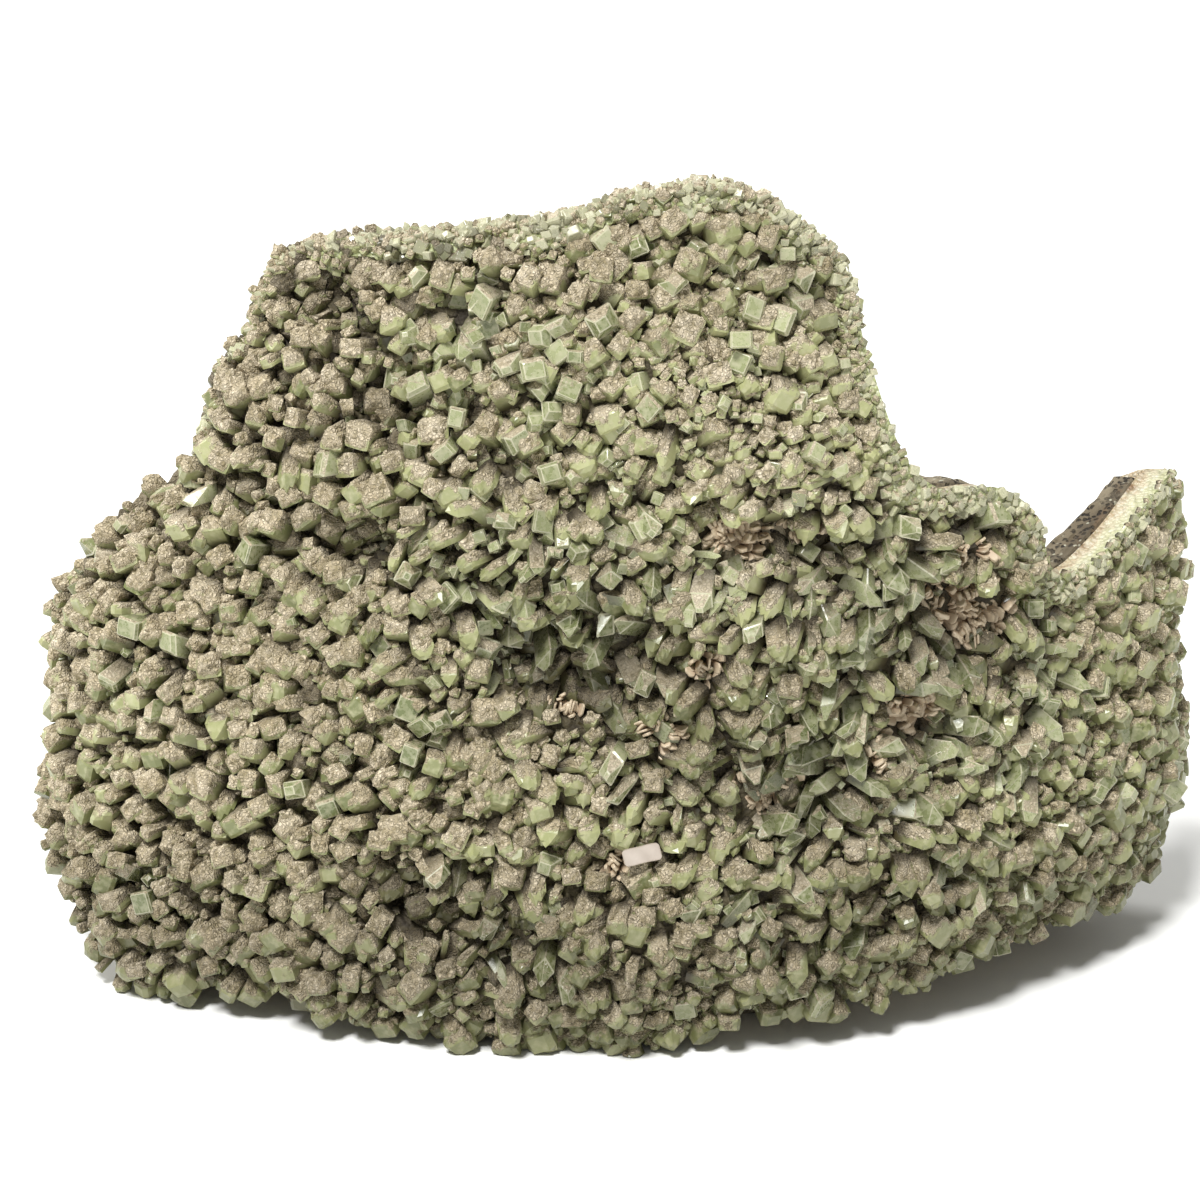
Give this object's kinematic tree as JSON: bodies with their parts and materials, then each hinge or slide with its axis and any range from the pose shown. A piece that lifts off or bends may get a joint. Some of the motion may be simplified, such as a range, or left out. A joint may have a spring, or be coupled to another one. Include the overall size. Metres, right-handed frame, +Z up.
{
  "type": "apophyllite crystal cluster",
  "caption": "Large standing apophyllite cluster: a bent basalt slab with a notched top edge, its outer face crusted with green crystals, with peach stilbite in the hollows.",
  "frame": {"origin": "on the floor, under the middle of the cluster's bounding box", "axes": "+Z up, +X to the viewer's right along the face, -Y towards the viewer, the side the crystal face looks to"},
  "size_m": [0.5227, 0.2036, 0.3635],
  "materials": {
    "basalt": "rough",
    "apophyllite": "satin",
    "stilbite": "satin",
    "label_paper": "matte"
  },
  "bodies": {
    "root": {"basalt_matrix": "basalt", "apophyllite_crust": "apophyllite", "stilbite_under_shelf": "stilbite", "stilbite_by_notch": "stilbite", "stilbite_right": "stilbite", "stilbite_middle": "stilbite", "paper_label": "label_paper"}
  },
  "joints": []
}
